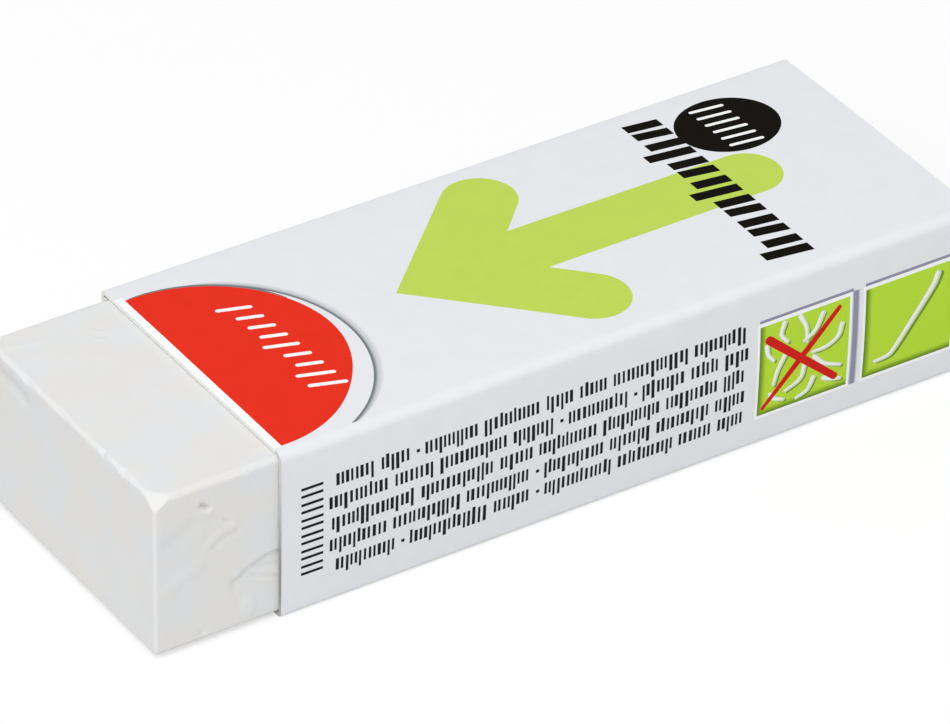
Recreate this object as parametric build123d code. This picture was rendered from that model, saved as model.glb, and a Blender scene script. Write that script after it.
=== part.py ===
from build123d import *
import os

# A block eraser of soft white vinyl in a printed card sleeve.
#
# Frame: +X runs along the length, from the bare rubbing end to the covered end.
# +Z is up. The origin is the centre of the footprint, on the surface the sleeve
# lies on. All sizes are millimetres.
#
# The block is one extruded and cut bar. The sleeve is one strip of card, folded
# four times round the block: it starts with a glue flap that stands up on the far
# side, runs under the block, up the near side and over the top, and ends with a
# panel that comes down outside the flap and is glued to it. The far side is
# therefore two cards thick, with the flap's free edge inside and the last panel's
# free edge outside. The sleeve slides along the block and pulls off its ends.

# The vinyl block
BLOCK_LENGTH = 65.0
BLOCK_WIDTH = 22.0
BLOCK_HEIGHT = 12.5
BLOCK_LONG_EDGE_R = 0.8  # rounding of the four edges that run along the bar
BLOCK_END_EDGE_R = 0.5  # rounding round the two cut ends

# The card sleeve
CARD = 0.3  # thickness of the card
FIT_GAP = 0.05  # sliding clearance between the block and the card, each side
FOLD_TIGHTER = 0.25  # how far a fold's inside radius is under the block's edge and the gap
SLEEVE_LENGTH = 56.0
REAR_RECESS = 0.5  # how far the block's covered end lies inside the sleeve
FLAP_SHORT = 0.1  # the glue flap's free edge stops this far under the upper fold
PANEL_SHORT = 0.5  # the outer panel's free edge stops this far above the lower fold

# The sleeve's opening and folds follow the block that slides in it.
OPENING_WIDTH = BLOCK_WIDTH + 2 * FIT_GAP
OPENING_HEIGHT = BLOCK_HEIGHT + 2 * FIT_GAP
FOLD_R = BLOCK_LONG_EDGE_R + FIT_GAP - FOLD_TIGHTER

# Places along X: the whole eraser, front to sleeve rear, is centred on 0.
OVERALL_LENGTH = max(BLOCK_LENGTH + REAR_RECESS, SLEEVE_LENGTH)
SLEEVE_REAR_X = OVERALL_LENGTH / 2
SLEEVE_FRONT_X = SLEEVE_REAR_X - SLEEVE_LENGTH
BLOCK_REAR_X = SLEEVE_REAR_X - REAR_RECESS
BLOCK_FRONT_X = BLOCK_REAR_X - BLOCK_LENGTH

# Places across Y: the near side has one card and the far side two.
OVERALL_WIDTH = OPENING_WIDTH + 3 * CARD
OPENING_NEAR_Y = -OVERALL_WIDTH / 2 + CARD
OPENING_FAR_Y = OPENING_NEAR_Y + OPENING_WIDTH
BLOCK_Y = (OPENING_NEAR_Y + OPENING_FAR_Y) / 2

# Places up Z: the bottom panel lies on the surface.
OPENING_LOW_Z = CARD
OPENING_HIGH_Z = OPENING_LOW_Z + OPENING_HEIGHT
BLOCK_Z = (OPENING_LOW_Z + OPENING_HIGH_Z) / 2


def section_plane(x):
    """A sketch plane across the eraser at x: its own x is +Y and its own y is +Z."""
    return Plane(origin=(x, 0, 0), x_dir=(0, 1, 0), z_dir=(1, 0, 0))


def eraser_block():
    """The vinyl bar, with its long edges rounded and its two cut ends eased."""
    profile = Pos(BLOCK_Y, BLOCK_Z) * RectangleRounded(BLOCK_WIDTH, BLOCK_HEIGHT, BLOCK_LONG_EDGE_R)
    bar = extrude(section_plane(BLOCK_FRONT_X) * profile, BLOCK_LENGTH, dir=(1, 0, 0))
    ends = bar.faces().sort_by(Axis.X)
    return fillet(ends[0].edges() + ends[-1].edges(), BLOCK_END_EDGE_R)


def rounded_box(low_y, high_y, low_z, high_z, radius):
    """A rounded rectangle in the section plane, between the given sides."""
    middle = Pos((low_y + high_y) / 2, (low_z + high_z) / 2)
    return middle * RectangleRounded(high_y - low_y, high_z - low_z, radius)


def card_ring(far_y):
    """The section of a closed card tube whose inside reaches far_y on the far side."""
    outside = rounded_box(
        OPENING_NEAR_Y - CARD, far_y + CARD, OPENING_LOW_Z - CARD, OPENING_HIGH_Z + CARD, FOLD_R + CARD
    )
    inside = rounded_box(OPENING_NEAR_Y, far_y, OPENING_LOW_Z, OPENING_HIGH_Z, FOLD_R)
    return outside - inside


def far_region(low_z, high_z):
    """The part of the section plane beyond the far folds' start, between two heights."""
    low_y = OPENING_FAR_Y - FOLD_R
    high_y = OPENING_FAR_Y + 3 * CARD
    middle = Pos((low_y + high_y) / 2, (low_z + high_z) / 2)
    return middle * Rectangle(high_y - low_y, high_z - low_z)


def card_sleeve():
    """The folded card: flap layer and outer panel layer, glued face to face on the far side."""
    flap_top_z = OPENING_HIGH_Z - FOLD_R - FLAP_SHORT
    panel_end_z = OPENING_LOW_Z + FOLD_R + PANEL_SHORT
    above_all_z = OPENING_HIGH_Z + 2 * CARD
    below_all_z = OPENING_LOW_Z - 2 * CARD

    flap_layer = card_ring(OPENING_FAR_Y) - far_region(flap_top_z, above_all_z)
    panel_layer = card_ring(OPENING_FAR_Y + CARD) - far_region(below_all_z, panel_end_z)
    section = flap_layer + panel_layer
    return extrude(section_plane(SLEEVE_FRONT_X) * section, SLEEVE_LENGTH, dir=(1, 0, 0))


def main():
    """Writes one STEP file for each piece."""
    os.makedirs("parts", exist_ok=True)
    pieces = {"eraser_block": eraser_block(), "card_sleeve": card_sleeve()}
    for name, shape in pieces.items():
        export_step(shape, f"parts/{name}.step")
    print("sleeve front from the block's front:", SLEEVE_FRONT_X - BLOCK_FRONT_X)
    print("travel that clears the block:", BLOCK_REAR_X - SLEEVE_FRONT_X)


main()
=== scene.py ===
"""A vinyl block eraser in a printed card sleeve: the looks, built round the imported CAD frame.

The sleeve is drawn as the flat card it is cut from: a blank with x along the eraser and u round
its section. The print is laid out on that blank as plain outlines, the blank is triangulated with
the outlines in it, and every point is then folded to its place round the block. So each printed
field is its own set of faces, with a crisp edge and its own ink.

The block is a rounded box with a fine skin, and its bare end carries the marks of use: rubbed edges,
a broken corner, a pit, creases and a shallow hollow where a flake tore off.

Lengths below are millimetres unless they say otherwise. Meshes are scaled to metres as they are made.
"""

import math
import random

import bmesh
import bpy
import numpy as np
from mathutils import Matrix, Vector, noise
from mathutils.geometry import delaunay_2d_cdt


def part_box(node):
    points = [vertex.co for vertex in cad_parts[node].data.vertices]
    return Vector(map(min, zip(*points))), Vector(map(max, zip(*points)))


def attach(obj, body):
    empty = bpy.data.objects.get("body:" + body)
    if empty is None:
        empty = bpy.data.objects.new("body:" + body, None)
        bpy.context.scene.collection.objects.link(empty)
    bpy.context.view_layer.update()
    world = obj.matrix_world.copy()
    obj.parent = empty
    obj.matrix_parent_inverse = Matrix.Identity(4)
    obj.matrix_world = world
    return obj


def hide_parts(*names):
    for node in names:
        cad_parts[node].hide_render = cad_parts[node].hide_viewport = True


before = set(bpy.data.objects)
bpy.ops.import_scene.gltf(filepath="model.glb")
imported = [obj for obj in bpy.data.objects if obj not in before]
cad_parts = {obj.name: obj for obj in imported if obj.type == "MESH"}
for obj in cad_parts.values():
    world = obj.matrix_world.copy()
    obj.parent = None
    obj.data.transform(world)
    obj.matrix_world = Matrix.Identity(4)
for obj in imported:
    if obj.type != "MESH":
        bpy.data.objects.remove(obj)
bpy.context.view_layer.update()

MM = 0.001


def box_mm(node):
    """Lowest and highest corners of a CAD node, in millimetres."""
    low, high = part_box(node)
    return np.array(low) / MM, np.array(high) / MM


def new_object(name, data):
    """A new object in the scene, from a mesh, a camera or a lamp."""
    made = bpy.data.objects.new(name, data)
    bpy.context.scene.collection.objects.link(made)
    return made


# ---------------- sizes from the frame

SLEEVE_LOW, SLEEVE_HIGH = box_mm("card_sleeve")
BLOCK_LOW, BLOCK_HIGH = box_mm("eraser_block")

NEAR_WALL = BLOCK_LOW[1] - SLEEVE_LOW[1]  # one card and the sliding gap
FAR_WALL = SLEEVE_HIGH[1] - BLOCK_HIGH[1]  # two cards and the sliding gap
CARD = FAR_WALL - NEAR_WALL
FIT_GAP = NEAR_WALL - CARD
OPENING_WIDTH = BLOCK_HIGH[1] - BLOCK_LOW[1] + 2 * FIT_GAP
SLEEVE_LENGTH = SLEEVE_HIGH[0] - SLEEVE_LOW[0]
BARE_LENGTH = SLEEVE_LOW[0] - BLOCK_LOW[0]

SOFT_FOLD_R = 0.45  # inside radius of the fold between the top and the near side
TIGHT_FOLD_R = 0.15  # inside radius of the other folds, which are creased
FLAP_BELOW_TOP = 0.45  # the flap's free edge, below the top card's middle
PANEL_ABOVE_FLOOR = 1.25  # the outer panel's free edge, above the bottom card's middle

# How bright the even light from all round is, and how far the white table is lifted to plain white.
WORLD_LIGHT = 0.54
FLOOR_GLOW = 0.55
FLOOR_BELOW = 0.00002  # metres under the sleeve
FLOOR_WHITE_FROM = 0.16  # metres from the middle, beyond which the table is seen as plain white


# ---------------- the sleeve's section


class Section:
    """The middle line of the folded card, from the flap's free edge to the outer panel's.

    It is a chain of straight runs and quarter-turn folds. A place on it is its distance u from the
    start. Travelling along it, the outside of the sleeve is on the left.
    """

    def __init__(self, start, direction):
        self.runs = []
        self.length = 0.0
        self.point = np.array(start, float)
        self.direction = np.array(direction, float)

    def straight(self, name, length):
        self.runs.append((name, self.length, length, self.point.copy(), self.direction.copy(), 0.0))
        self.point = self.point + self.direction * length
        self.length += length

    def fold(self, name, inside_radius):
        """A quarter turn to the right, about a centre on the inside."""
        radius = inside_radius + CARD / 2
        inward = np.array([self.direction[1], -self.direction[0]])
        length = radius * math.pi / 2
        centre = self.point + inward * radius
        self.runs.append((name, self.length, length, centre, self.direction.copy(), radius))
        self.point = self.point + (inward + self.direction) * radius
        self.direction = inward
        self.length += length

    def run(self, name):
        """Where the named run starts, and how long it is."""
        for run_name, start, length, *_ in self.runs:
            if run_name == name:
                return start, length
        raise KeyError(name)

    def place(self, u):
        """The point (y, z) at u and the outward normal there."""
        for _, start, length, anchor, direction, radius in self.runs:
            if u <= start + length + 1e-9:
                break
        outward = np.array([-direction[1], direction[0]])
        if radius == 0:
            return anchor + direction * (u - start), outward
        turn = (u - start) / length * math.pi / 2
        normal = outward * math.cos(turn) + direction * math.sin(turn)
        return anchor + normal * radius, normal


def make_section():
    """The folded strip: flap, bottom, near side, top, outer far side."""
    low_z = SLEEVE_LOW[2] + CARD / 2
    high_z = SLEEVE_HIGH[2] - CARD / 2
    near_y = SLEEVE_LOW[1] + CARD / 2
    flap_y = near_y + OPENING_WIDTH + CARD
    panel_y = flap_y + CARD
    soft = SOFT_FOLD_R + CARD / 2
    tight = TIGHT_FOLD_R + CARD / 2
    flap_top = high_z - FLAP_BELOW_TOP
    panel_low = low_z + PANEL_ABOVE_FLOOR

    section = Section((flap_y, flap_top), (0, -1))
    section.straight("flap", flap_top - low_z - tight)
    section.fold("bottom_far_fold", TIGHT_FOLD_R)
    section.straight("bottom", flap_y - near_y - 2 * tight)
    section.fold("bottom_near_fold", TIGHT_FOLD_R)
    section.straight("near", high_z - low_z - tight - soft)
    section.fold("top_near_fold", SOFT_FOLD_R)
    section.straight("top", panel_y - near_y - soft - tight)
    section.fold("top_far_fold", TIGHT_FOLD_R)
    section.straight("outer_far", high_z - tight - panel_low)
    return section


SECTION = make_section()


def on_top(x, v):
    """Blank point for a place on the top panel, v across from the near side's outer face."""
    return x, SECTION.run("top")[0] + v - SOFT_FOLD_R - CARD


def on_near(x, z):
    """Blank point for a place on the near side, z up from the bottom's outer face."""
    return x, SECTION.run("near")[0] + z - TIGHT_FOLD_R - CARD


# ---------------- outlines for the print


def arc(centre, radius, start, end, steps):
    """Points on an arc, angles in degrees, from start to end."""
    angles = [math.radians(start + (end - start) * i / steps) for i in range(steps + 1)]
    return [(centre[0] + radius * math.cos(a), centre[1] + radius * math.sin(a)) for a in angles]


def disc(centre, radius, steps=96):
    return arc(centre, radius, 0, 360, steps)[:-1]


def rectangle(low, high):
    return [(low[0], low[1]), (high[0], low[1]), (high[0], high[1]), (low[0], high[1])]


def smooth_path(points, steps=8):
    """A Catmull-Rom curve through the points."""
    if len(points) < 3:
        return [np.array(p, float) for p in points]
    knots = [np.array(p, float) for p in points]
    knots = [2 * knots[0] - knots[1], *knots, 2 * knots[-1] - knots[-2]]
    path = []
    for a, b, c, d in zip(knots, knots[1:], knots[2:], knots[3:]):
        slope = c - a
        bend = 2 * a - 5 * b + 4 * c - d
        twist = 3 * b - a - 3 * c + d
        for i in range(steps):
            t = i / steps
            path.append(b + 0.5 * (slope * t + bend * t**2 + twist * t**3))
    path.append(knots[-2])
    return path


def stroke(points, start_width, end_width=None, cap_steps=6):
    """Outline of a pen stroke with round ends, through the points, tapering between two widths."""
    end_width = start_width if end_width is None else end_width
    path = smooth_path(points)
    left, right = [], []
    for i, p in enumerate(path):
        ahead = path[min(i + 1, len(path) - 1)] - path[max(i - 1, 0)]
        side = np.array([-ahead[1], ahead[0]]) / np.linalg.norm(ahead)
        half = (start_width + (end_width - start_width) * i / (len(path) - 1)) / 2
        left.append(p + side * half)
        right.append(p - side * half)

    def cap(centre, edge):
        """Half a turn, anticlockwise, from one side of the stroke to the other."""
        spoke = np.array(edge) - centre
        angle = math.degrees(math.atan2(spoke[1], spoke[0]))
        return arc(centre, float(np.linalg.norm(spoke)), angle, angle + 180, cap_steps)[1:-1]

    outline = [*right, *cap(path[-1], right[-1]), *reversed(left), *cap(path[0], left[0])]
    return [(float(x), float(y)) for x, y in outline]


def slanted_bar(x_low, x_high, v_low, width, slant):
    """A bar that runs along x from x_low to x_high, leaning towards higher v at x_low."""
    return [
        (x_high, v_low),
        (x_high, v_low + width),
        (x_low, v_low + width + slant),
        (x_low, v_low + slant),
    ]


# ---------------- the print, field by field

# Each field is (ink, outline on the blank). A later field is printed over an earlier one.
FIELDS = []

RED_CENTRE = (1.05, 10.92)
RED_R = 9.98
RED_FLATTER = 0.4  # the half disc's edge is a little flatter towards the near fold
RED_EDGE_X = 0.6
SHADOW_CENTRE = (1.07, 10.18)
SHADOW_R = 10.58
SHADOW_WIDTH = 0.75


def add_field(ink, place, outline):
    FIELDS.append((ink, [place(x, y) for x, y in outline]))


def crescent(centre, radius, width, start, end, steps=64):
    """A line of the given width outside a circle, tapering to nothing at both ends."""
    inner = arc(centre, radius, end, start, steps)
    outer = []
    for i in range(1, steps):
        angle = start + (end - start) * i / steps
        swell = width * math.sin(math.pi * i / steps) ** 0.4
        outer += arc(centre, radius + swell, angle, angle, 1)[:1]
    return outer + inner


def print_half_disc():
    """A plain red half disc at the sleeve's mouth, with a soft grey shadow line outside it."""
    highlight_strip_low_v, highlight_strip_high_v = 0.9, 21.3
    shadow_from, shadow_to = -63, 72
    line_width, line_from, line_to = 0.2, 26, 92
    flattest, flat_spread, steps = -38, 32, 96
    # Painted highlight: a strip whiter than the card along the mouth, where the crushed cut edge catches the
    # light.
    add_field("white_ink", on_top, rectangle((0, highlight_strip_low_v), (RED_EDGE_X, highlight_strip_high_v)))
    shadow = crescent(SHADOW_CENTRE, SHADOW_R, SHADOW_WIDTH, shadow_from, shadow_to)
    add_field("shadow_line", on_top, shadow)
    add_field("dark_grey", on_top, crescent(RED_CENTRE, RED_R, line_width, line_from, line_to))
    reach = math.degrees(math.acos((RED_EDGE_X - RED_CENTRE[0]) / RED_R))
    outline = []
    for i in range(steps + 1):
        angle = -reach + 2 * reach * i / steps
        flatter = RED_FLATTER * bump((angle - flattest) / flat_spread, 1)
        outline += arc(RED_CENTRE, RED_R - flatter, angle, angle, 1)[:1]
    add_field("red", on_top, outline)


def print_name_place():
    """Nine plain white strokes in the red field."""
    start = np.array([8.1, 5.0])
    pitch = np.array([-0.1, 1.35])
    lean = np.array([-0.95, 0.32])
    for i, length in enumerate((2.4, 2.4, 1.6, 1.6, 2.2, 1.6, 1.6, 1.6, 2.2)):
        foot = start + pitch * i
        add_field("white_ink", on_top, stroke([foot, foot + lean * length], 0.36))


def arrow_outline():
    """An arrow of three round-ended strokes, with a sharp tip."""
    tip = (16.5, 11.97)
    middle_v = 11.82
    arm_r, shaft_r, end_r = 2.7, 2.6, 2.52
    lobe_reach, lobe_x = 7.0, 27.65
    shaft_end_x = 45.15
    half_turn_out = 135

    far_lobe = (lobe_x, middle_v + lobe_reach)
    near_lobe = (lobe_x, middle_v - lobe_reach)
    # The arm's inner edge is the line square to the lobe's spoke at -45 degrees.
    inner_x = lobe_x + arm_r * math.sqrt(2) - (lobe_reach - shaft_r)
    points = [tip]
    points += arc(near_lobe, arm_r, -half_turn_out, 45, 28)
    points += [(inner_x, middle_v - shaft_r)]
    points += arc((shaft_end_x, middle_v), end_r, -90, 90, 28)
    points += [(inner_x, middle_v + shaft_r)]
    points += arc(far_lobe, arm_r, -45, half_turn_out, 28)
    return points


def print_word_place():
    """Seven slanted black blocks, each of two heavy stems, across the arrow's shaft."""
    base_x, cap_x, low_x = 43.75, 40.15, 41.05
    first_v, pitch = 1.72, 2.83
    stem, gap, slant = 0.93, 0.4, 0.5
    tall = (True, False, False, True, False, True, False)
    for i, is_tall in enumerate(tall):
        v = first_v + i * pitch
        top_x = cap_x if is_tall else low_x
        add_field("black", on_top, slanted_bar(top_x, base_x, v, stem, slant))
        add_field("black", on_top, slanted_bar(low_x, base_x, v + stem + gap, stem, slant * 0.75))


def print_badge():
    """A plain black disc with six white strokes."""
    centre = np.array([47.55, 17.7])
    half_width, half_height = 3.9, 3.45
    unit = disc((0, 0), 1)
    add_field("black", on_top, [(centre[0] + half_width * x, centre[1] + half_height * y) for x, y in unit])
    half = np.array([-1.2, 0.15])
    for i in range(6):
        middle = centre + np.array([-0.1, 1.0 * (i - 2.5)])
        add_field("white_ink", on_top, stroke([middle - half, middle + half], 0.3))


def print_small_rows():
    """Rows of fine upright bars, in groups, where a real sleeve has small print."""
    draw = random.Random(11)
    x_height, extra = 0.95, 0.34
    group_gap, dot = 0.42, 0.26
    first_z, pitch = 2.42, 1.72
    left_ends = (4.2, 3.7, 3.85, 3.65, 4.2)
    right_end = 37.3
    for row, left_end in enumerate(left_ends):
        row_z = first_z + pitch * row
        x = left_end
        left_in_group = draw.randint(6, 18)
        while x < right_end - 0.3:
            stem = draw.choice((0.18, 0.2, 0.22, 0.26))
            down = extra if draw.random() < 0.25 else 0.0
            up = extra / 2 if draw.random() < 0.1 else 0.0
            low, high = (x, row_z - down), (x + stem, row_z + x_height + up)
            add_field("text_black", on_near, rectangle(low, high))
            x += stem + draw.choice((0.14, 0.16, 0.2))
            left_in_group -= 1
            if left_in_group == 0:
                x += group_gap
                left_in_group = draw.randint(6, 18)
                if draw.random() < 0.2:
                    middle = row_z + x_height / 2
                    low, high = (x, middle - dot / 2), (x + dot, middle + dot / 2)
                    add_field("text_black", on_near, rectangle(low, high))
                    x += group_gap + dot


def print_code_place():
    """A short ladder of plain bars, in six pairs, beside the sleeve's mouth."""
    pairs, pitch, bar, gap = 6, 1.25, 0.22, 0.36
    left, right, first_z = 1.5, 3.2, 2.95
    for i in range(pairs):
        z = first_z + i * pitch
        add_field("text_black", on_near, rectangle((left, z), (right, z + bar)))
        add_field("text_black", on_near, rectangle((left, z + bar + gap), (right, z + 2 * bar + gap)))


# Crumbs of rubbed vinyl in the first pictogram, as fractions of its width and height.
CRUMBS = (
    ((0.45, 0.97), (0.52, 0.82), (0.53, 0.66)),
    ((0.7, 0.92), (0.62, 0.76), (0.5, 0.68)),
    ((0.92, 0.72), (0.88, 0.6), (0.76, 0.53), (0.6, 0.52)),
    ((0.27, 0.96), (0.24, 0.84), (0.31, 0.74)),
    ((0.3, 0.62), (0.21, 0.45), (0.17, 0.3)),
    ((0.62, 0.46), (0.74, 0.34), (0.92, 0.26)),
    ((0.51, 0.4), (0.47, 0.26), (0.31, 0.18)),
    ((0.62, 0.22), (0.56, 0.1), (0.44, 0.05)),
    ((0.08, 0.76), (0.1, 0.66), (0.16, 0.58)),
    ((0.74, 0.17), (0.84, 0.12), (0.93, 0.1)),
    ((0.14, 0.2), (0.2, 0.13), (0.29, 0.09)),
)
PANEL_LOW_Z, PANEL_HIGH_Z = 2.45, 9.75
FIRST_PANEL = (38.15, 45.6)
SECOND_PANEL = (46.95, 54.4)


def print_panel(green, low_x, high_x):
    """A green square that looks set in: a light lip and a grey line outside its top and right."""
    lip, top_line, side_line = 0.3, 0.24, 0.42
    outer_x, outer_z = high_x + lip, PANEL_HIGH_Z + lip
    side_low, side_high = (outer_x, PANEL_LOW_Z - 0.15), (outer_x + side_line, outer_z)
    soft_low, soft_high = (outer_x - 0.1, side_low[1]), (outer_x + side_line + 0.1, outer_z)
    add_field("white_ink", on_near, rectangle((low_x - 0.2, PANEL_LOW_Z - 0.25), (outer_x, outer_z)))
    add_field("panel_grey", on_near, rectangle((low_x - 0.05, outer_z), (outer_x, outer_z + top_line)))
    add_field("soft_grey", on_near, rectangle(soft_low, soft_high))
    add_field("panel_grey", on_near, rectangle(side_low, side_high))
    add_field(green, on_near, rectangle((low_x, PANEL_LOW_Z), (high_x, PANEL_HIGH_Z)))


def print_pictograms():
    """Two plain squares: many crumbs crossed out, and a single strand."""
    print_panel("first_green", *FIRST_PANEL)
    print_panel("second_green", *SECOND_PANEL)

    def in_first(s, t):
        width, height = FIRST_PANEL[1] - FIRST_PANEL[0], PANEL_HIGH_Z - PANEL_LOW_Z
        return FIRST_PANEL[0] + s * width, PANEL_LOW_Z + t * height

    shade = np.array([0.15, -0.13])
    for crumb in CRUMBS:
        path = [np.array(in_first(s, t)) for s, t in crumb]
        add_field("dark_green", on_near, stroke([p + shade for p in path], 0.34, 0.24))
    for crumb in CRUMBS:
        path = [np.array(in_first(s, t)) for s, t in crumb]
        add_field("crumb_shade", on_near, stroke(path, 0.46, 0.3))
        add_field("crumb_white", on_near, stroke([p - shade * 0.45 for p in path], 0.3, 0.18))

    rise_start, rise_middle, rise_end = in_first(0.06, 0.07), in_first(0.46, 0.5), in_first(0.88, 0.92)
    add_field("cross_red", on_near, stroke([rise_start, rise_middle], 0.32, 0.56))
    add_field("cross_red", on_near, stroke([rise_middle, rise_end], 0.56, 0.4))
    add_field("cross_red", on_near, stroke([in_first(0.1, 0.83), in_first(0.86, 0.15)], 0.66, 0.56))

    strand = [(53.05, 9.05), (52.6, 8.1), (51.0, 5.95), (49.55, 4.0), (49.0, 3.62), (48.0, 3.5)]
    add_field("dark_green", on_near, stroke([(x + 0.24, z - 0.12) for x, z in strand], 0.52, 0.3))
    add_field("crumb_shade", on_near, stroke(strand, 0.56, 0.34))
    add_field("crumb_white", on_near, stroke([(x - 0.08, z + 0.05) for x, z in strand], 0.34, 0.2))


def lay_out_print():
    print_half_disc()
    print_name_place()
    add_field("arrow_green", on_top, arrow_outline())
    print_badge()
    print_word_place()
    print_small_rows()
    print_code_place()
    print_pictograms()


# ---------------- the sleeve's mesh


# How far each panel bows out along its middle, and how much more or less it does at the mouth.
BOWS = {"near": (0.18, -0.14), "top": (0.12, -0.12), "outer_far": (0.1, -0.06)}
BOW_MOUTH_REACH = 3  # the bow at the mouth fades into the panel's own over this length
RIPPLE = 0.015
GLUED_EDGE_LIFT, LIFT_CHANGES = 0.05, 0.04
LIFT_REACH, LIFT_ENDS = 0.8, 3


def card_relief(x, u):
    """How far the card stands out from its flat panel: a slight bow, and a lift at the glued edge."""
    out = 0.0
    for name, (bow, at_mouth) in BOWS.items():
        start, length = SECTION.run(name)
        s = (u - start) / length
        if 0 < s < 1:
            ripple = RIPPLE * noise.noise(Vector((x * 0.12, u * 0.2, 3.7)))
            out += math.sin(math.pi * s) * (bow + at_mouth * math.exp(-x / BOW_MOUTH_REACH) + ripple)
    end_start, end_length = SECTION.run("outer_far")
    from_free_edge = end_start + end_length - u
    if from_free_edge < LIFT_ENDS:
        lift = GLUED_EDGE_LIFT + LIFT_CHANGES * noise.noise(Vector((x * 0.16, 0.0, 9.1)))
        out += lift * math.exp(-from_free_edge / LIFT_REACH)
    return out


def folded(x, u, side):
    """The folded place of a blank point, in millimetres: side is +1 outside and -1 inside."""
    (y, z), normal = SECTION.place(u)
    off = side * CARD / 2 + card_relief(x, u)
    return (SLEEVE_LOW[0] + x, y + normal[0] * off, z + normal[1] * off)


def spaced(start, end, step):
    """Evenly spaced values from start to end, no further apart than step."""
    count = max(1, math.ceil((end - start) / step - 1e-9))
    return [start + (end - start) * i / count for i in range(count + 1)]


def blank_lines():
    """The x and u places of the lines that the blank is divided by."""
    xs = [0, 0.25, 0.6, 1.1, 1.8, 2.8, 4.2] + spaced(6, SLEEVE_LENGTH - 3, 2.4)
    xs += [SLEEVE_LENGTH - 2, SLEEVE_LENGTH - 1, SLEEVE_LENGTH - 0.4, SLEEVE_LENGTH]
    us = [0.0]
    for _, start, length, _, _, radius in SECTION.runs:
        step = length / 8 if radius else 1.3
        us += spaced(start, start + length, step)[1:]
    end = SECTION.length
    us = [u for u in us if u < end - 0.9] + [end - 0.8, end - 0.4, end - 0.15, end]
    return xs, us


def triangulated_blank(xs, us):
    """The blank's points and triangles, with the number of the top field on each triangle."""
    points = [Vector((x, u)) for u in us for x in xs]
    columns = len(xs)
    edges = []
    for row in range(len(us)):
        for column in range(columns):
            here = row * columns + column
            if column + 1 < columns:
                edges.append((here, here + 1))
            if row + 1 < len(us):
                edges.append((here, here + columns))
    outlines = []
    for _, outline in FIELDS:
        outlines.append(list(range(len(points), len(points) + len(outline))))
        points += [Vector(p) for p in outline]
    made = delaunay_2d_cdt(points, edges, outlines, 0, 1e-5)
    top_field = [max(owners, default=-1) for owners in made[5]]
    return made[0], made[2], top_field


INKS = ("card_white", "card_inside", "card_edge", "mouth_edge_painted_shade")
INKS += ("red", "dark_grey", "shadow_line", "white_ink", "arrow_green", "black", "text_black")
INKS += ("panel_grey", "soft_grey", "first_green", "second_green", "dark_green")
INKS += ("crumb_shade", "crumb_white", "cross_red")


def build_sleeve():
    """The folded card as one closed mesh: printed outside, bare inside and raw cut edges."""
    lay_out_print()
    xs, us = blank_lines()
    flat, triangles, top_field = triangulated_blank(xs, us)

    vertices = [folded(p.x, p.y, 1) for p in flat]
    faces, inks = [], []
    for triangle, field in zip(triangles, top_field):
        a, b, c = (flat[i] for i in triangle)
        if abs((b - a).cross(c - a)) < 1e-9:
            continue
        faces.append(tuple(triangle))
        inks.append(INKS.index(FIELDS[field][0] if field >= 0 else "card_white"))

    inner = {}
    for row, u in enumerate(us):
        for column, x in enumerate(xs):
            inner[row, column] = len(vertices)
            vertices.append(folded(x, u, -1))
    for row in range(len(us) - 1):
        for column in range(len(xs) - 1):
            square = [(row, column), (row + 1, column), (row + 1, column + 1), (row, column + 1)]
            faces.append(tuple(inner[k] for k in square))
            inks.append(INKS.index("card_inside"))

    def rim(line, ink="card_edge"):
        """The cut edge along a chain of blank points, which has the card's thickness."""
        for (row, column), (next_row, next_column) in zip(line, line[1:]):
            first = len(vertices)
            vertices.append(folded(xs[column], us[row], 1))
            vertices.append(folded(xs[next_column], us[next_row], 1))
            faces.append((first, inner[row, column], inner[next_row, next_column], first + 1))
            inks.append(INKS.index(ink))

    last_row, last_column = len(us) - 1, len(xs) - 1
    top_start = us.index(min(us, key=lambda u: abs(u - SECTION.run("top")[0])))
    rim([(row, 0) for row in range(last_row, top_start - 1, -1)])
    # Painted shade: the mouth's cut edge, from the flap round to the near fold, is greyed low down.
    rim([(row, 0) for row in range(top_start, -1, -1)], "mouth_edge_painted_shade")
    rim([(0, column) for column in range(last_column + 1)])
    rim([(row, last_column) for row in range(last_row + 1)])
    rim([(last_row, column) for column in range(last_column, -1, -1)])

    mesh = bpy.data.meshes.new("printed_card_sleeve")
    mesh.from_pydata([Vector(v) * MM for v in vertices], [], faces)
    mesh.polygons.foreach_set("material_index", inks)
    weld(mesh, 1e-7)
    for edge in edges_round(mesh, (INKS.index("card_edge"), INKS.index("mouth_edge_painted_shade"))):
        edge.use_edge_sharp = True
    return new_object("printed_card_sleeve", mesh)


def weld(mesh, distance):
    """Joins doubled points, drops faces and edges without size, and shades the faces smoothly."""
    work = bmesh.new()
    work.from_mesh(mesh)
    bmesh.ops.remove_doubles(work, verts=work.verts, dist=distance)
    bmesh.ops.dissolve_degenerate(work, edges=work.edges, dist=distance / 10)
    for face in work.faces:
        face.smooth = True
    work.to_mesh(mesh)
    work.free()


def edges_round(mesh, material_indices):
    """The edges where a face of one of the given materials meets a face of another material."""
    sides = {}
    for polygon in mesh.polygons:
        for key in polygon.edge_keys:
            sides.setdefault(key, set()).add(polygon.material_index in material_indices)
    return [edge for edge in mesh.edges if len(sides.get(edge.key, ())) == 2]


# ---------------- the block's mesh

BLOCK_SIZE = BLOCK_HIGH - BLOCK_LOW
TOP_EDGE_R = 0.45
LOW_EDGE_R = 0.3
END_EDGE_R = 0.3
PROUD = 0.045  # a mark stands out no further, so that the sleeve still slides over it
MOUTH_MARGIN = 0.9  # raised marks fade out this far before the sleeve's mouth
FINE_STEP = 0.075


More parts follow.
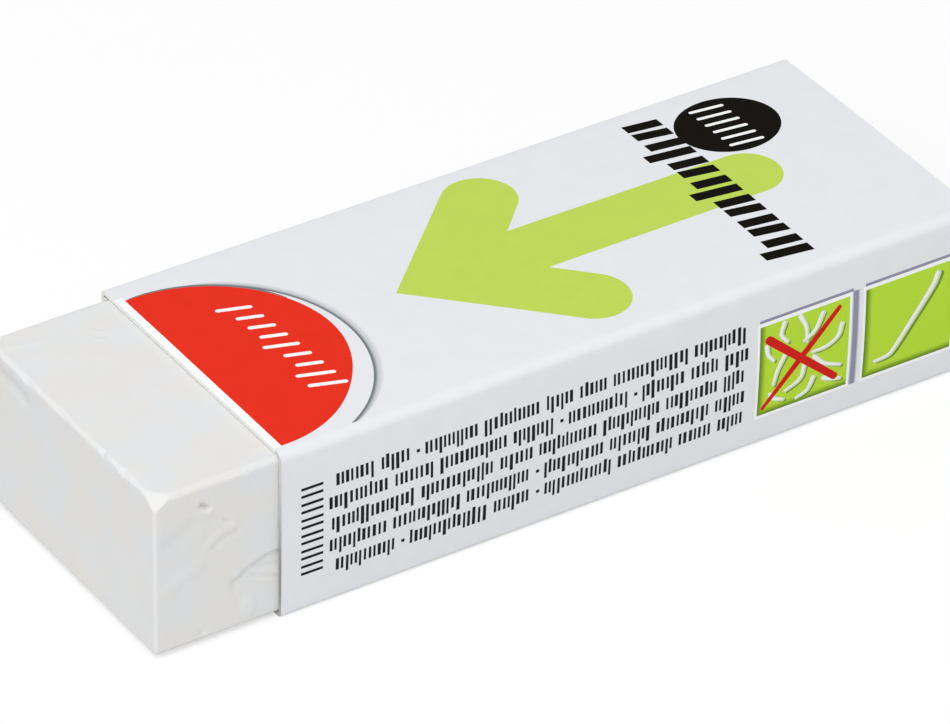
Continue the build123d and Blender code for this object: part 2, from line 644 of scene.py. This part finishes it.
def lengthwise():
    """Places along the block: fine over its bare end, then in steps that grow under the sleeve."""
    places = spaced(0, 0.6, FINE_STEP) + spaced(0.6, BARE_LENGTH + 0.9, 0.15)[1:]
    step = 0.15
    while places[-1] + step < BLOCK_SIZE[0] - 0.6:
        places.append(places[-1] + step)
        step = min(step * 1.25, 2.6)
    return places + spaced(BLOCK_SIZE[0] - 0.6, BLOCK_SIZE[0], 0.1)


def both_ends(length, middle):
    """Places from 0 to length, fine over the rounded edges and even between them."""
    ends = spaced(0, 0.6, FINE_STEP)
    return ends + spaced(ends[-1], length - ends[-1], middle)[1:-1] + [length - p for p in reversed(ends)]


def box_skin(xs, ys, zs):
    """Points and quads of a box's six faces, sharing the points along its edges."""
    index, points, quads = {}, [], []

    def at(i, j, k):
        if (i, j, k) not in index:
            index[i, j, k] = len(points)
            points.append((xs[i], ys[j], zs[k]))
        return index[i, j, k]

    last = (len(xs) - 1, len(ys) - 1, len(zs) - 1)
    for axis in range(3):
        first_axis, second_axis = (axis + 1) % 3, (axis + 2) % 3
        for end in (0, last[axis]):
            for p in range(last[first_axis]):
                for q in range(last[second_axis]):
                    square = []
                    for dp, dq in ((0, 0), (1, 0), (1, 1), (0, 1)):
                        place = [0, 0, 0]
                        place[axis], place[first_axis], place[second_axis] = end, p + dp, q + dq
                        square.append(at(*place))
                    quads.append(tuple(square) if end else tuple(reversed(square)))
    return np.array(points), quads


def rounded(points):
    """Moves a box's surface points onto the box with rounded edges, and gives their normals.

    A point's inset is how far it lies inside the box's four long sides. The long edges are rounded
    by measuring that inset along a spoke of the edge's circle, the end edges by letting inset and
    distance from the end trade places on a quarter circle.
    """
    x, y, z = points.T
    length, width, height = BLOCK_SIZE
    radius = np.where(z > height / 2, TOP_EDGE_R, LOW_EDGE_R)
    core = np.column_stack((np.clip(y, radius, width - radius), np.clip(z, LOW_EDGE_R, height - TOP_EDGE_R)))
    spoke = points[:, 1:] - core
    reach = np.linalg.norm(spoke, axis=1)
    outward = spoke / np.maximum(reach, 1e-9)[:, None]

    inset = np.minimum(np.minimum(y, width - y), np.minimum(z, height - z))
    from_end = np.minimum(x, length - x)
    to_end = END_EDGE_R - np.minimum(from_end, END_EDGE_R)
    to_side = END_EDGE_R - np.minimum(inset, END_EDGE_R)
    lean = np.hypot(to_end, to_side)
    from_end = np.where(to_end > 0, END_EDGE_R * (1 - to_end / lean), from_end)
    inset = np.where(to_side > 0, END_EDGE_R * (1 - to_side / lean), inset)

    at_start = x < length / 2
    moved_x = np.where(at_start, from_end, length - from_end)
    moved = np.where((reach > 0)[:, None], core + outward * (radius - inset)[:, None], points[:, 1:])
    normal_x = np.where(at_start, -1, 1) * to_end / lean
    normal = outward * (to_side / lean)[:, None]
    return np.column_stack((moved_x, moved)), np.column_stack((normal_x, normal))


def path_distance(a, b, path):
    """Distance from each (a, b) to a chain of straight runs, and its signed side of the nearest run."""
    best = np.full(len(a), 1e9)
    side = np.zeros(len(a))
    for (a0, b0), (a1, b1) in zip(path, path[1:]):
        run = np.array([a1 - a0, b1 - b0])
        t = np.clip(((a - a0) * run[0] + (b - b0) * run[1]) / (run @ run), 0, 1)
        da, db = a - a0 - t * run[0], b - b0 - t * run[1]
        distance = np.hypot(da, db)
        nearer = distance < best
        best = np.where(nearer, distance, best)
        side = np.where(nearer, np.sign(run[0] * db - run[1] * da), side)
    return best, side


def bump(distance, width):
    return np.exp(-((distance / width) ** 2))


def until(value, end, softness):
    """One below the end and zero beyond it, changing smoothly."""
    return 1 / (1 + np.exp((value - end) / softness))


def noise_at(points, scale, offset):
    """Smooth noise between about -1 and 1; scale is the size of its lumps."""
    shift = Vector((offset, offset * 0.37, -offset * 0.71))
    return np.array([noise.noise(Vector(p) / scale + shift) for p in points])


def press(out, a, b, path, height, width):
    """Adds a ridge, or a groove if height is negative, along a path."""
    distance, _ = path_distance(a, b, path)
    out += height * bump(distance, width)


# Marks pressed into the near side: height (outward is positive), width, and the path's places.
NEAR_MARKS = (
    (-0.28, 0.2, (3.7, 10.75), (4.05, 10.45)),
    (0.04, 0.25, (3.75, 10.2), (4.15, 10.0)),
    (-0.06, 0.12, (4.45, 9.5), (4.85, 9.25)),
    (-0.08, 0.13, (5.3, 9.05), (5.7, 8.8)),
    (0.06, 0.28, (4.2, 7.4), (4.7, 7.85), (5.5, 8.2), (6.1, 8.3)),
    (-0.05, 0.3, (4.6, 7.2), (5.6, 7.65), (6.2, 7.75)),
    (-0.06, 0.7, (1.2, 8.5), (2.7, 9.2)),
    (0.05, 0.5, (1.2, 5.0), (2.3, 5.6), (3.4, 6.1)),
    (-0.1, 0.15, (3.5, 0.6), (3.55, 0.6)),
)


def near_face_marks(x, z):
    """Marks rubbed and pressed into the near side: outward is positive."""
    out = np.zeros(len(x))
    for height, width, *path in NEAR_MARKS:
        press(out, x, z, path, height, width)

    # A flake has torn off low down beside the sleeve: its rim is a small step into a shallow hollow.
    rim = [(9.9, 5.05), (8.85, 5.06), (8.2, 4.9), (7.15, 4.5), (6.4, 4.0), (5.8, 3.75)]
    rim += [(5.9, 3.2), (6.2, 2.2), (6.5, 0.9)]
    distance, side = path_distance(x, z, rim)
    inside = 0.5 + 0.5 * np.tanh(distance * side / 0.12)
    upper = 1 / (1 + np.exp((3.3 - z) / 0.3))
    out -= (0.05 + 0.12 * upper) * inside * np.exp(-distance / 0.7)
    press(out, x, z, [(8.2, 4.3), (9.5, 3.95)], -0.05, 0.15)
    press(out, x, z, [(7.3, 3.8), (8.2, 3.4), (9.5, 2.95)], -0.06, 0.15)
    out += 0.16 * bump(np.hypot((x - 7.1) / 0.7, (z - 1.25) / 1.1), 0.6)
    return out


def top_face_marks(x, y):
    """Two small ridges and a faint streak on the top."""
    out = np.zeros(len(x))
    along = np.array([0.23, -0.15])
    for middle in ((7.04, 18.81), (6.61, 17.96)):
        press(out, x, y, [np.array(middle) - along, np.array(middle) + along], 0.045, 0.13)
        press(out, x, y, [np.array(middle) - along + 0.18, np.array(middle) + along + 0.18], -0.05, 0.12)
    press(out, x, y, [(0.3, 20.4), (1.6, 20.1), (3.2, 19.8)], 0.04, 0.3)
    return out


def front_face_marks(y, z):
    """A soft hollow under the far corner, and faint upright bands."""
    out = np.zeros(len(y))
    press(out, y, z, [(16.6, 10.9), (18.3, 11.1), (20.4, 11.1)], -0.12, 0.6)
    for y_at in (1.3, 6.4, 11.8, 15.5, 19.6):
        out -= 0.02 * bump(y - y_at, 1.2)
    return out


def trimmed(points, corner, normal, depth):
    """Cuts the points back to a plane across a corner; depth is how far the corner is cut back."""
    normal = np.array(normal) / np.linalg.norm(normal)
    beyond = np.maximum((points - corner) @ normal + depth, 0)
    return points - beyond[:, None] * normal


def worn_edges(points):
    """The bare end's rubbed edges and its broken near corner."""
    height = BLOCK_SIZE[2]
    lumps = noise_at(points, 1.6, 5.0)
    crumbs = noise_at(points, 0.5, 1.0)
    y = points[:, 1]

    def worn_depth(depth, from_lumps, from_crumbs):
        return depth + from_lumps * lumps + from_crumbs * crumbs

    front_depth = worn_depth(0.16, 0.12, 0.06)
    for bite_y, depth, width in ((6.6, 0.16, 0.35), (4.0, 0.12, 0.3), (11.6, 0.08, 0.4), (16.3, 0.1, 0.6)):
        front_depth += depth * bump(y - bite_y, width)
    points = trimmed(points, (0, 0, height), (-0.75, 0, 0.66), front_depth)
    fade = until(points[:, 0], BARE_LENGTH + 0.3, 0.2)
    points = trimmed(points, (0, 0, height), (0, -0.7, 0.7), worn_depth(0.2, 0.08, 0.05) * fade)
    points = trimmed(points, (0, 0, 0), (-0.7, -0.7, 0), worn_depth(0.07, 0.08, 0.07))
    corner_depth = worn_depth(0.7, 0.12, 0.05)
    return trimmed(points, (0, 0, height), (-0.535, -0.425, 0.730), corner_depth)


def build_block():
    """The vinyl bar, with a fine skin at its bare end and a coarser one under the sleeve."""
    skin, quads = box_skin(lengthwise(), both_ends(BLOCK_SIZE[1], 0.17), both_ends(BLOCK_SIZE[2], 0.15))
    points, normals = rounded(skin)
    x, y, z = points.T

    marks = near_face_marks(x, z) * np.clip(-normals[:, 1], 0, 1) ** 3
    marks += top_face_marks(x, y) * np.clip(normals[:, 2], 0, 1) ** 3
    marks += front_face_marks(y, z) * np.clip(-normals[:, 0], 0, 1) ** 3
    uneven = 0.02 * noise_at(points, 2.5, 2.0) + 0.01 * noise_at(points, 0.9, 3.0)

    # Raised marks end before the mouth, hollows run a little way in under the sleeve.
    raised_until = until(x, BARE_LENGTH - MOUTH_MARGIN, 0.16)
    hollow_until = until(x, BARE_LENGTH + 0.6, 0.16)
    relief = marks + uneven
    relief = np.where(relief > 0, np.minimum(relief, PROUD) * raised_until, relief * hollow_until)
    shaped = worn_edges(points + normals * relief[:, None])

    mesh = bpy.data.meshes.new("vinyl_block")
    mesh.from_pydata([Vector(p) for p in (shaped + BLOCK_LOW) * MM], [], quads)
    mesh.polygons.foreach_set("use_smooth", [True] * len(mesh.polygons))
    # The marks' heights, kept for the painted shade and grime that darken the hollows.
    hollow_shade_attribute = mesh.attributes.new("hollow_shade_and_grime", "FLOAT", "POINT")
    hollow_shade_attribute.data.foreach_set("value", (marks / 0.2).astype(np.float32))
    mesh.update()
    return new_object("vinyl_block", mesh)


# ---------------- materials


def linear(red, green, blue):
    """A colour given in everyday 0 to 255 steps, as Blender's linear values."""
    values = [c / 255 for c in (red, green, blue)]
    return tuple(v / 12.92 if v <= 0.04045 else ((v + 0.055) / 1.055) ** 2.4 for v in values)


class Nodes:
    """A material's node tree, with short calls for the nodes used here."""

    def __init__(self, name):
        self.material = bpy.data.materials.new(name)
        self.material.use_nodes = True
        self.tree = self.material.node_tree
        self.shader = self.tree.nodes["Principled BSDF"]
        self.place = self.tree.nodes.new("ShaderNodeTexCoord").outputs["Object"]

    def link(self, source, target):
        self.tree.links.new(source, target)

    def matt(self, roughness, specular=None):
        """Sets the surface's roughness, and how strongly it reflects."""
        self.shader.inputs["Roughness"].default_value = roughness
        if specular is not None:
            self.shader.inputs["Specular IOR Level"].default_value = specular

    def split_place(self):
        """The place's own X, Y and Z outputs."""
        node = self.tree.nodes.new("ShaderNodeSeparateXYZ")
        self.link(self.place, node.inputs["Vector"])
        return node.outputs

    def vector_math(self, operation, vector, value=(0, 0, 0)):
        node = self.tree.nodes.new("ShaderNodeVectorMath")
        node.operation = operation
        self.link(vector, node.inputs[0])
        node.inputs[1].default_value = value
        return node.outputs

    def noise(self, size, detail=3.0, roughness=0.55, stretch=(1, 1, 1)):
        """Noise whose features are about size millimetres across."""
        texture = self.tree.nodes.new("ShaderNodeTexNoise")
        texture.inputs["Scale"].default_value = 1.0
        texture.inputs["Detail"].default_value = detail
        texture.inputs["Roughness"].default_value = roughness
        mapping = self.tree.nodes.new("ShaderNodeMapping")
        mapping.inputs["Scale"].default_value = [1 / (size * MM * s) for s in stretch]
        self.link(self.place, mapping.inputs["Vector"])
        self.link(mapping.outputs["Vector"], texture.inputs["Vector"])
        return texture.outputs["Fac"]

    def ramp(self, value, stops):
        """A colour ramp; stops are (position, colour)."""
        node = self.tree.nodes.new("ShaderNodeValToRGB")
        elements = node.color_ramp.elements
        while len(elements) < len(stops):
            elements.new(0.5)
        for element, (position, colour) in zip(elements, stops):
            element.position = position
            element.color = (*colour, 1)
        self.link(value, node.inputs["Fac"])
        return node.outputs["Color"]

    def math(self, operation, first, second):
        node = self.tree.nodes.new("ShaderNodeMath")
        node.operation = operation
        for socket, value in zip(node.inputs, (first, second)):
            if isinstance(value, (int, float)):
                socket.default_value = value
            else:
                self.link(value, socket)
        return node.outputs["Value"]

    def span(self, value, low, high):
        """A value from 0 to 1 turned into one from low to high."""
        node = self.tree.nodes.new("ShaderNodeMapRange")
        node.inputs["From Min"].default_value = 0.3
        node.inputs["From Max"].default_value = 0.7
        node.inputs["To Min"].default_value = low
        node.inputs["To Max"].default_value = high
        self.link(value, node.inputs["Value"])
        return node.outputs["Result"]

    def bump(self, height, distance, strength, under=None):
        """A bump of the given height in millimetres."""
        node = self.tree.nodes.new("ShaderNodeBump")
        node.inputs["Distance"].default_value = distance * MM
        node.inputs["Strength"].default_value = strength
        self.link(height, node.inputs["Height"])
        if under is not None:
            self.link(under, node.inputs["Normal"])
        return node.outputs["Normal"]


def scaled(colour, factor):
    return tuple(min(1.0, c * factor) for c in colour)


CARD_WHITE = linear(230, 232, 236)
DARK_GREY = linear(118, 126, 130)
INK_SPECULAR = 0.05


def card_tooth(nodes):
    """The board's fine tooth, over faint waves."""
    tooth = nodes.bump(nodes.noise(0.09, detail=2), 0.006, 0.5)
    waves = nodes.bump(nodes.noise(3.5, detail=2), 0.03, 0.4, under=tooth)
    nodes.link(waves, nodes.shader.inputs["Normal"])
    nodes.shader.inputs["Specular IOR Level"].default_value = INK_SPECULAR


def printed_card(name, colour, variation=0.02):
    """Coated card under one ink, with faint changes in the ink's density."""
    nodes = Nodes(name)
    stops = [(0.3, scaled(colour, 1 - variation)), (0.7, scaled(colour, 1 + variation))]
    shade = nodes.ramp(nodes.noise(1.6, detail=4), stops)
    nodes.link(shade, nodes.shader.inputs["Base Color"])
    nodes.link(nodes.span(nodes.noise(0.5), 0.5, 0.6), nodes.shader.inputs["Roughness"])
    card_tooth(nodes)
    return nodes.material


def edge_with_painted_shade(name):
    """The cut edge beside the block, with painted shade: grey towards its foot, where the gap beside the
    block lies in shadow.
    """
    nodes = Nodes(name)
    height = nodes.math("DIVIDE", nodes.split_place()["Z"], SLEEVE_HIGH[2] * MM)
    # Painted shade: darkest a little above the foot, paler towards the top.
    stops = [(0.0, linear(184, 183, 180)), (0.16, linear(152, 151, 148)), (0.36, linear(158, 157, 154))]
    stops += [(0.55, linear(186, 185, 182)), (0.85, linear(210, 209, 206))]
    nodes.link(nodes.ramp(height, stops), nodes.shader.inputs["Base Color"])
    nodes.matt(0.9, INK_SPECULAR)
    return nodes.material


def inset_green(name, low_x):
    """A pictogram's green field, darker along its left and lower edges as if it were set in."""
    nodes = Nodes(name)
    dark_edge = 0.55
    place = nodes.split_place()
    across = nodes.math("SUBTRACT", place["X"], (SLEEVE_LOW[0] + low_x) * MM)
    upward = nodes.math("SUBTRACT", place["Z"], (SLEEVE_LOW[2] + PANEL_LOW_Z) * MM)
    reach = nodes.math("MULTIPLY", nodes.math("MINIMUM", across, upward), 1 / (dark_edge * MM))
    stops = [(0.0, linear(96, 128, 30)), (0.35, linear(128, 164, 40)), (1.0, linear(184, 221, 62))]
    nodes.link(nodes.ramp(reach, stops), nodes.shader.inputs["Base Color"])
    nodes.matt(0.55)
    card_tooth(nodes)
    return nodes.material


def shadow_line_card():
    """The printed shadow outside the red field: grey at its inner edge, fading out into the white."""
    nodes = Nodes("print_shadow_line")
    centre = (SLEEVE_LOW[0] + SHADOW_CENTRE[0], SLEEVE_LOW[1] + SHADOW_CENTRE[1])
    offset = nodes.vector_math("SUBTRACT", nodes.place, (centre[0] * MM, centre[1] * MM, 0))
    flat = nodes.vector_math("MULTIPLY", offset["Vector"], (1, 1, 0))
    reach = nodes.vector_math("LENGTH", flat["Vector"])
    across = nodes.math("SUBTRACT", reach["Value"], SHADOW_R * MM)
    across = nodes.math("DIVIDE", across, SHADOW_WIDTH * MM)
    stops = [(0.0, DARK_GREY), (0.16, DARK_GREY), (0.4, linear(196, 199, 204)), (1.0, CARD_WHITE)]
    nodes.link(nodes.ramp(across, stops), nodes.shader.inputs["Base Color"])
    nodes.matt(0.55)
    card_tooth(nodes)
    return nodes.material


def raw_card(name, light, dark, size):
    """Uncoated board: flecked with fibres and quite rough."""
    nodes = Nodes(name)
    flecks = nodes.noise(size, detail=6, roughness=0.7)
    nodes.link(nodes.ramp(flecks, [(0.32, dark), (0.6, light)]), nodes.shader.inputs["Base Color"])
    nodes.matt(0.9, 0.25)
    nodes.link(nodes.bump(flecks, 0.03, 0.6), nodes.shader.inputs["Normal"])
    return nodes.material


def sleeve_materials():
    """One material for each name in INKS."""
    inks = {
        "card_white": printed_card("card_white", CARD_WHITE, 0.012),
        "card_inside": raw_card("card_inside", linear(214, 213, 207), linear(190, 188, 180), 0.5),
        # Near white: partly the board's own pale cut edge, partly painted highlight where the crushed edge
        # catches the light.
        "card_edge": raw_card("card_edge", linear(246, 246, 243), linear(226, 225, 220), 0.12),
        "mouth_edge_painted_shade": edge_with_painted_shade("mouth_edge_painted_shade"),
        "dark_grey": printed_card("print_dark_grey", DARK_GREY),
        "shadow_line": shadow_line_card(),
        "white_ink": printed_card("print_white", linear(248, 249, 250), 0.01),
        "black": printed_card("print_black", linear(12, 8, 3), 0.1),
        "text_black": printed_card("print_text_black", linear(30, 31, 34), 0.1),
        "first_green": inset_green("print_first_green", FIRST_PANEL[0]),
        "second_green": inset_green("print_second_green", SECOND_PANEL[0]),
        "cross_red": printed_card("print_cross_red", linear(208, 32, 26), 0.04),
    }
    plain = {"red": (231, 48, 28), "arrow_green": (191, 216, 90), "dark_green": (116, 148, 44)}
    plain |= {"panel_grey": (146, 147, 166), "soft_grey": (198, 199, 212)}
    plain |= {"crumb_shade": (202, 218, 178), "crumb_white": (240, 244, 238)}
    for name, colour in plain.items():
        inks[name] = printed_card("print_" + name, linear(*colour))
    return [inks[name] for name in INKS]


def vinyl_material():
    """Soft white vinyl: chalky, faintly mottled warm and cool, a little light going into it, with painted
    shade and grime in the hollows of its marks.
    """
    nodes = Nodes("soft_white_vinyl")
    mottle = nodes.noise(4.0, detail=4, roughness=0.6)
    base = nodes.ramp(mottle, [(0.35, linear(229, 227, 224)), (0.65, linear(226, 228, 230))])
    # Painted shade, partly grime: hollows of the marks are darkened, deeper ones more, while raised marks
    # keep the plain colour.
    hollow_shade_and_grime = nodes.tree.nodes.new("ShaderNodeAttribute")
    hollow_shade_and_grime.attribute_name = "hollow_shade_and_grime"
    depth = nodes.math("ADD", hollow_shade_and_grime.outputs["Fac"], 1.0)
    stops = [(0.0, linear(190, 188, 181)), (0.6, linear(246, 246, 243)), (1.0, (1, 1, 1))]
    tint = nodes.tree.nodes.new("ShaderNodeMix")
    tint.data_type = "RGBA"
    tint.blend_type = "MULTIPLY"
    tint.inputs["Factor"].default_value = 0.25
    nodes.link(base, tint.inputs["A"])
    nodes.link(nodes.ramp(depth, stops), tint.inputs["B"])
    nodes.link(tint.outputs["Result"], nodes.shader.inputs["Base Color"])
    nodes.link(nodes.span(nodes.noise(1.2, detail=4), 0.55, 0.72), nodes.shader.inputs["Roughness"])
    nodes.shader.inputs["Subsurface Weight"].default_value = 0.1
    nodes.shader.inputs["Subsurface Radius"].default_value = (0.0008, 0.0007, 0.0006)
    nodes.shader.inputs["Subsurface Scale"].default_value = 1.0
    nodes.shader.inputs["Specular IOR Level"].default_value = 0.25
    grain = nodes.bump(nodes.noise(0.14, detail=4, roughness=0.65), 0.008, 0.4)
    drag = nodes.bump(nodes.noise(0.6, detail=4, stretch=(1, 1, 4)), 0.02, 0.3, under=grain)
    nodes.link(drag, nodes.shader.inputs["Normal"])
    return nodes.material


# ---------------- the stage

# The camera's place, from the middle of the eraser's bare half.
VIEW_AZIMUTH, VIEW_ELEVATION, VIEW_ROLL = -33.65, 34.36, 1.12
VIEW_DISTANCE = 0.5174
LENS = 288.6
AIM = (0.02178, -0.0012, 0.00688)  # metres from the sleeve's mouth


def direction(azimuth, elevation):
    """The way towards a camera or lamp: azimuth 0 is on the -Y side, and 90 on the +X side."""
    flat = math.cos(elevation)
    return Vector((math.sin(azimuth) * flat, -math.cos(azimuth) * flat, math.sin(elevation)))


def add_camera():
    """A long lens above the near side, aimed so that the eraser runs out of the picture at both ends."""
    azimuth, elevation, roll = (math.radians(a) for a in (VIEW_AZIMUTH, VIEW_ELEVATION, VIEW_ROLL))
    mouth = Vector((SLEEVE_LOW[0] * MM, (SLEEVE_LOW[1] + SLEEVE_HIGH[1] - CARD) / 2 * MM, SLEEVE_LOW[2] * MM))
    target = mouth + Vector(AIM)
    back = direction(azimuth, elevation)
    right = Vector((math.cos(azimuth), math.sin(azimuth), 0))
    up = back.cross(right)
    rolled_right = right * math.cos(roll) + up * math.sin(roll)
    rolled_up = up * math.cos(roll) - right * math.sin(roll)
    turn = Matrix((rolled_right, rolled_up, back)).transposed()
    data = bpy.data.cameras.new("camera")
    data.lens = LENS
    data.sensor_width = 36
    data.clip_start, data.clip_end = 0.01, 20
    camera = new_object("camera", data)
    camera.matrix_world = Matrix.Translation(target + back * VIEW_DISTANCE) @ turn.to_4x4()
    bpy.context.scene.camera = camera


def add_lamp(name, azimuth, elevation, distance, size, power):
    """A square soft box that faces the eraser."""
    back = direction(math.radians(azimuth), math.radians(elevation))
    data = bpy.data.lights.new(name, "AREA")
    data.size = size
    data.energy = power
    lamp = new_object(name, data)
    lamp.location = back * distance
    lamp.rotation_euler = back.to_track_quat("Z", "Y").to_euler()


def add_world():
    """Even light from all round. The camera sees it as plain white, through clear surfaces too."""
    world = bpy.data.worlds.new("studio")
    bpy.context.scene.world = world
    world.use_nodes = True
    tree = world.node_tree
    tree.nodes.clear()

    def background(strength):
        node = tree.nodes.new("ShaderNodeBackground")
        node.inputs["Color"].default_value = (1.0, 1.0, 1.0, 1)
        node.inputs["Strength"].default_value = strength
        return node.outputs["Background"]

    path = tree.nodes.new("ShaderNodeLightPath")
    either = tree.nodes.new("ShaderNodeMath")
    either.operation = "MAXIMUM"
    tree.links.new(path.outputs["Is Camera Ray"], either.inputs[0])
    tree.links.new(path.outputs["Is Transmission Ray"], either.inputs[1])
    mix = tree.nodes.new("ShaderNodeMixShader")
    tree.links.new(either.outputs["Value"], mix.inputs["Fac"])
    tree.links.new(background(WORLD_LIGHT), mix.inputs[1])
    tree.links.new(background(1.0), mix.inputs[2])
    output = tree.nodes.new("ShaderNodeOutputWorld")
    tree.links.new(mix.outputs["Shader"], output.inputs["Surface"])


def add_floor():
    """A white table. What the camera sees is lifted towards plain white, and keeps a soft shadow."""
    half = 1.5
    corners = [(-half, -half, 0), (half, -half, 0), (half, half, 0), (-half, half, 0)]
    mesh = bpy.data.meshes.new("floor")
    mesh.from_pydata(corners, [], [(0, 1, 2, 3)])
    floor = new_object("floor", mesh)
    floor.location.z = SLEEVE_LOW[2] * MM - FLOOR_BELOW
    nodes = Nodes("white_table")
    nodes.matt(0.9, 0.0)
    glow = nodes.tree.nodes.new("ShaderNodeEmission")
    glow.inputs["Color"].default_value = (1, 1, 1, 1)
    glow.inputs["Strength"].default_value = 1.0
    path = nodes.tree.nodes.new("ShaderNodeLightPath")
    seen, bounced = (1.0, 1.0, 1.0), (0.78, 0.78, 0.78)
    white = nodes.ramp(path.outputs["Is Camera Ray"], [(0.0, bounced), (1.0, seen)])
    nodes.link(white, nodes.shader.inputs["Base Color"])
    reach = nodes.vector_math("LENGTH", nodes.place)
    farther = nodes.math("DIVIDE", reach["Value"], FLOOR_WHITE_FROM)
    near, far = (FLOOR_GLOW, FLOOR_GLOW, FLOOR_GLOW), (1.0, 1.0, 1.0)
    lift = nodes.ramp(farther, [(0.35, near), (1.0, far)])
    share = nodes.math("MULTIPLY", path.outputs["Is Camera Ray"], lift)
    mix = nodes.tree.nodes.new("ShaderNodeMixShader")
    nodes.link(share, mix.inputs["Fac"])
    nodes.link(nodes.shader.outputs["BSDF"], mix.inputs[1])
    nodes.link(glow.outputs["Emission"], mix.inputs[2])
    nodes.link(mix.outputs["Shader"], nodes.tree.nodes["Material Output"].inputs["Surface"])
    mesh.materials.append(nodes.material)


def add_stage():
    add_camera()
    add_world()
    add_lamp("key", -50, 55, 0.9, 0.7, 5.4)
    add_floor()
    bpy.context.scene.view_settings.view_transform = "Standard"


# ---------------- the scene

add_stage()

sleeve = build_sleeve()
for material in sleeve_materials():
    sleeve.data.materials.append(material)
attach(sleeve, "sleeve")
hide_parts("card_sleeve")

block = build_block()
block.data.materials.append(vinyl_material())
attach(block, "eraser")
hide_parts("eraser_block")
